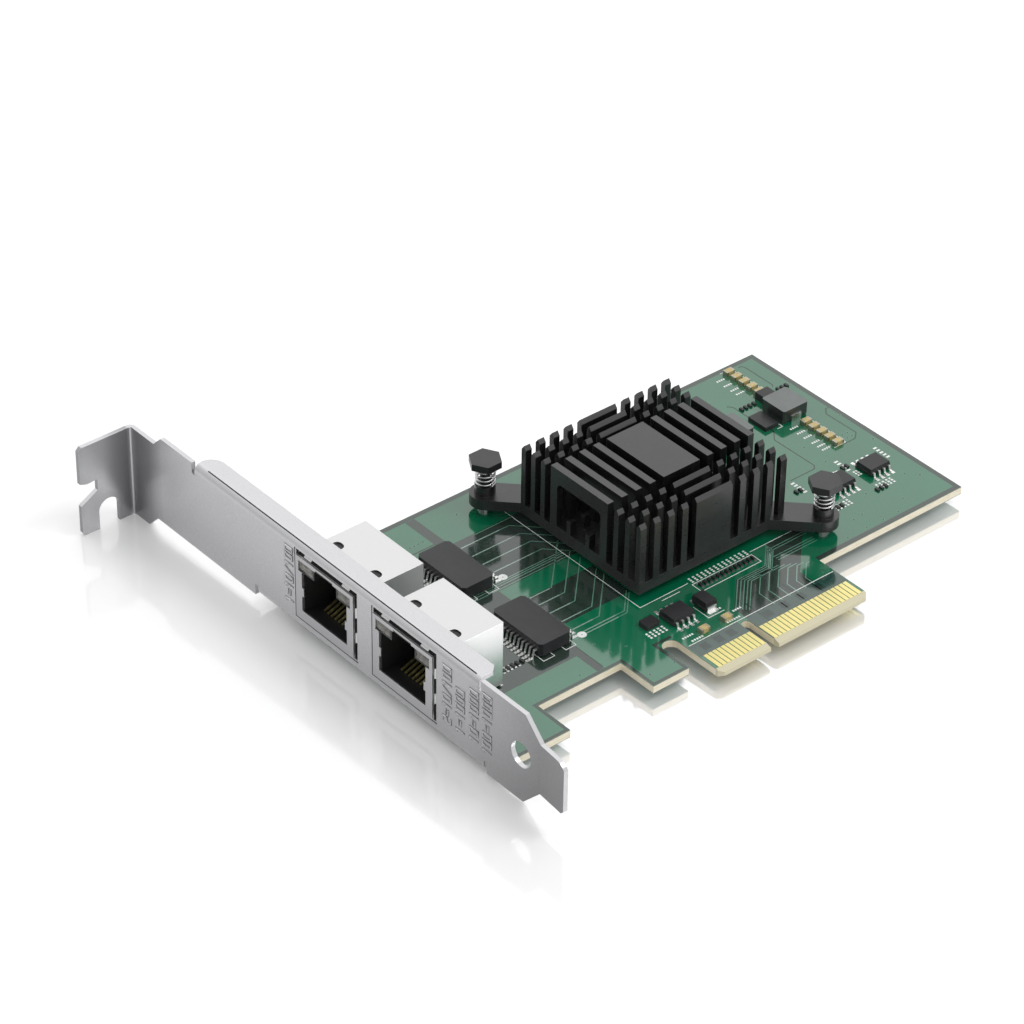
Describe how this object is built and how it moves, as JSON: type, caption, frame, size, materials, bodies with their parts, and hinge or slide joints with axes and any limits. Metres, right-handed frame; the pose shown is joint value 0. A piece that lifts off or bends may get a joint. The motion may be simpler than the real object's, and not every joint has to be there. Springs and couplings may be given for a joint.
{
  "type": "network interface card",
  "caption": "Low-profile network card: green board with stepped edge contacts, folded slot bracket, shielded sockets and a cross-cut black heat sink on sprung screws.",
  "frame": {"origin": "on the floor plane under the middle of the whole card, the floor plane being the low edge of the bracket's tab", "axes": "+X towards the edge contacts and the bracket's blade, +Y from the bracket into the computer, +Z out of the board's component side"},
  "size_m": [0.121, 0.1286, 0.0216],
  "materials": {
    "board_green": "solder mask over glass laminate",
    "contact_gold": "hard gold plate",
    "bracket_steel": "satin nickel plate",
    "shield_steel": "bright tin plate",
    "black_plastic": "moulded, fine texture",
    "clear_plastic": "clear light guide",
    "chip_black": "moulded epoxy",
    "tin_silver": "bright solder plate",
    "pad_grey": "soft heat-transfer sheet",
    "sink_black": "black anodised",
    "screw_black": "black oxide",
    "spring_steel": "polished spring wire and plate",
    "inductor_grey": "pressed powder core",
    "ceramic_tan": "unglazed"
  },
  "bodies": {
    "root": {"circuit_board": "board_green", "edge_contacts_top": "contact_gold", "edge_contacts_bottom": "contact_gold", "mounting_bracket": "bracket_steel", "bracket_screws": "bracket_steel", "jack_shield_a": "shield_steel", "jack_shield_b": "shield_steel", "jack_insert_a": "black_plastic", "jack_insert_b": "black_plastic", "jack_contacts_a": "contact_gold", "jack_contacts_b": "contact_gold", "jack_lamps_a": "clear_plastic", "jack_lamps_b": "clear_plastic", "line_transformer_a": "chip_black", "line_transformer_b": "chip_black", "transformer_leads_a": "tin_silver", "transformer_leads_b": "tin_silver", "controller_chip": "chip_black", "thermal_pad": "pad_grey", "heat_sink": "sink_black", "heat_sink_screw_left": "screw_black", "heat_sink_screw_right": "screw_black", "heat_sink_spring_left": "spring_steel", "heat_sink_spring_right": "spring_steel", "ear_spacers": "spring_steel", "back_nuts": "spring_steel", "power_inductors": "inductor_grey", "inductor_terminals": "tin_silver", "filter_choke": "chip_black", "converter_chip": "chip_black", "regulator": "chip_black", "small_chips": "chip_black", "small_chip_leads": "tin_silver", "chip_resistors": "chip_black", "capacitor_bodies": "ceramic_tan", "capacitor_ends": "tin_silver", "rectifier": "chip_black", "rectifier_ends": "tin_silver"}
  },
  "joints": []
}
